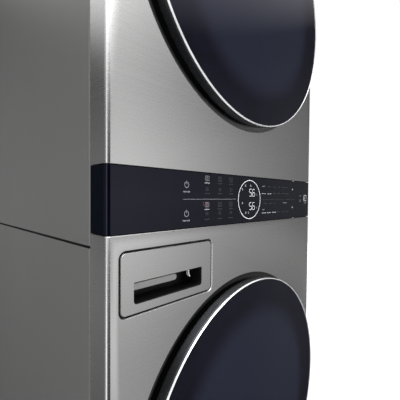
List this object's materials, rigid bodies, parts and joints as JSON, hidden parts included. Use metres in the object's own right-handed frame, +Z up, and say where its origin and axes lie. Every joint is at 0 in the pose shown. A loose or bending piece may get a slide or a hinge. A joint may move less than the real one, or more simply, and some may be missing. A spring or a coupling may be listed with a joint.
{
  "type": "stacked washer and dryer",
  "caption": "Front-loading washer with a tumble dryer stacked on it, round smoked-glass doors, black glass control panel between them, detergent drawer and drain flap.",
  "frame": {"origin": "on the floor, under the middle of the machine's outer box", "axes": "+Z up, the front with the doors faces -Y, +X to the right seen from the front"},
  "size_m": [0.7, 0.771, 1.889],
  "materials": {
    "brushed_steel": "satin",
    "painted_steel": "satin",
    "zinc_steel": "matte",
    "gunmetal": "gloss",
    "plated_plastic": "gloss",
    "black_glass": "gloss",
    "smoked_glass": "gloss",
    "bowl_glass": "gloss",
    "black_plastic": "gloss",
    "dark_plastic": "satin",
    "grey_plastic": "satin",
    "white_plastic": "satin",
    "stainless": "polished",
    "gasket_rubber": "matte",
    "black_rubber": "matte",
    "concrete": "matte",
    "cast_aluminium": "matte",
    "motor_iron": "matte",
    "circuit_board": "satin"
  },
  "bodies": {
    "cabinet": {"foot_front_left": "black_rubber", "foot_front_right": "black_rubber", "foot_rear_left": "black_rubber", "foot_rear_right": "black_rubber", "base_frame": "zinc_steel", "washer_cabinet": "painted_steel", "dryer_cabinet": "painted_steel", "washer_rear_cover": "zinc_steel", "dryer_rear_cover": "zinc_steel", "top_cover": "painted_steel", "washer_front_panel": "brushed_steel", "dryer_front_panel": "brushed_steel", "control_housing": "black_plastic", "control_glass": "black_glass", "control_board": "circuit_board", "washer_door_surround": "gunmetal", "dryer_front_bulkhead": "gunmetal", "dispenser_housing": "white_plastic", "drain_pump": "grey_plastic", "door_gasket": "gasket_rubber", "suspension_spring_left": "zinc_steel", "suspension_spring_right": "zinc_steel", "damper_cylinder_left": "dark_plastic", "damper_cylinder_right": "dark_plastic", "water_inlet_valve": "white_plastic", "dryer_rear_bulkhead": "zinc_steel", "drum_belt": "black_rubber", "dryer_motor": "cast_aluminium", "blower_housing": "white_plastic", "exhaust_duct": "zinc_steel"},
    "tub": {"tub_front": "white_plastic", "tub_rear": "white_plastic", "counterweight": "concrete", "drum_bearing": "stainless", "motor_stator": "motor_iron", "damper_rod_left": "zinc_steel", "damper_rod_right": "zinc_steel"},
    "washer_drum": {"washer_drum": "stainless", "drum_shaft": "cast_aluminium", "motor_rotor": "zinc_steel"},
    "washer_door": {"washer_door_frame": "plated_plastic", "washer_door_glass": "smoked_glass", "washer_door_bowl": "bowl_glass", "washer_door_back": "dark_plastic", "washer_door_hinge": "zinc_steel"},
    "dryer_door": {"dryer_door_frame": "plated_plastic", "dryer_door_glass": "smoked_glass", "dryer_door_bowl": "bowl_glass", "dryer_door_back": "dark_plastic", "dryer_door_hinge": "zinc_steel"},
    "drawer": {"drawer_front": "brushed_steel", "drawer_tray": "grey_plastic"},
    "pump_flap": {"pump_flap": "brushed_steel"},
    "pump_filter": {"pump_filter": "dark_plastic"},
    "dryer_drum": {"dryer_drum": "stainless"},
    "blower": {"blower_wheel": "dark_plastic"},
    "idler": {"idler_pulley": "white_plastic"},
    "roller_left": {"drum_roller_left": "black_rubber"},
    "roller_right": {"drum_roller_right": "black_rubber"},
    "lint_filter": {"lint_filter": "dark_plastic"}
  },
  "joints": [
    {"name": "washer_door_hinge", "type": "hinge", "parent": "cabinet", "child": "washer_door", "pos_m": [-0.287, -0.3695, 0.548], "axis": [0, 0, -1], "range_deg": [0, 110]},
    {"name": "dryer_door_hinge", "type": "hinge", "parent": "cabinet", "child": "dryer_door", "pos_m": [-0.287, -0.3695, 1.507], "axis": [0, 0, -1], "range_deg": [0, 110]},
    {"name": "drawer_slide", "type": "slide", "parent": "cabinet", "child": "drawer", "axis": [0, -1, 0], "range_m": [0, 0.2]},
    {"name": "pump_flap_hinge", "type": "hinge", "parent": "cabinet", "child": "pump_flap", "pos_m": [-0.25, -0.348, 0.0635], "axis": [1, 0, 0], "range_deg": [0, 90]},
    {"name": "pump_filter_turn", "type": "hinge", "parent": "cabinet", "child": "pump_filter", "pos_m": [-0.25, -0.32, 0.12], "axis": [0, -1, 0], "range_deg": [0, 90]},
    {"name": "lint_filter_slide", "type": "slide", "parent": "cabinet", "child": "lint_filter", "axis": [0, 0, 1], "range_m": [0, 0.2]},
    {"name": "tub_float", "type": "slide", "parent": "cabinet", "child": "tub", "axis": [0, 0, 1], "range_m": [-0.01, 0.01], "stiffness_N_per_m": 4864, "springref_m": 0.08, "deforming": ["suspension_spring_left", "suspension_spring_right", "door_gasket"]},
    {"name": "washer_drum_spin", "type": "hinge", "parent": "tub", "child": "washer_drum", "pos_m": [0, 0, 0.548], "axis": [0, 1, 0], "continuous": true},
    {"name": "dryer_drum_spin", "type": "hinge", "parent": "cabinet", "child": "dryer_drum", "pos_m": [0, 0, 1.507], "axis": [0, 1, 0], "continuous": true},
    {"name": "blower_spin", "type": "hinge", "parent": "cabinet", "child": "blower", "pos_m": [0, -0.15, 1.075], "axis": [0, 1, 0], "continuous": true},
    {"name": "idler_spin", "type": "hinge", "parent": "cabinet", "child": "idler", "pos_m": [-0.08655, -0.044, 1.11483], "axis": [0, 1, 0], "continuous": true},
    {"name": "roller_left_spin", "type": "hinge", "parent": "cabinet", "child": "roller_left", "pos_m": [-0.16539, -0.228, 1.19594], "axis": [0, 1, 0], "continuous": true},
    {"name": "roller_right_spin", "type": "hinge", "parent": "cabinet", "child": "roller_right", "pos_m": [0.16539, -0.228, 1.19594], "axis": [0, 1, 0], "continuous": true}
  ],
  "couplings": [
    {"joint": "blower_spin", "follows": "dryer_drum_spin", "ratio": 29.273},
    {"joint": "idler_spin", "follows": "dryer_drum_spin", "ratio": -20.125},
    {"joint": "roller_left_spin", "follows": "dryer_drum_spin", "ratio": -10.733},
    {"joint": "roller_right_spin", "follows": "dryer_drum_spin", "ratio": -10.733}
  ]
}
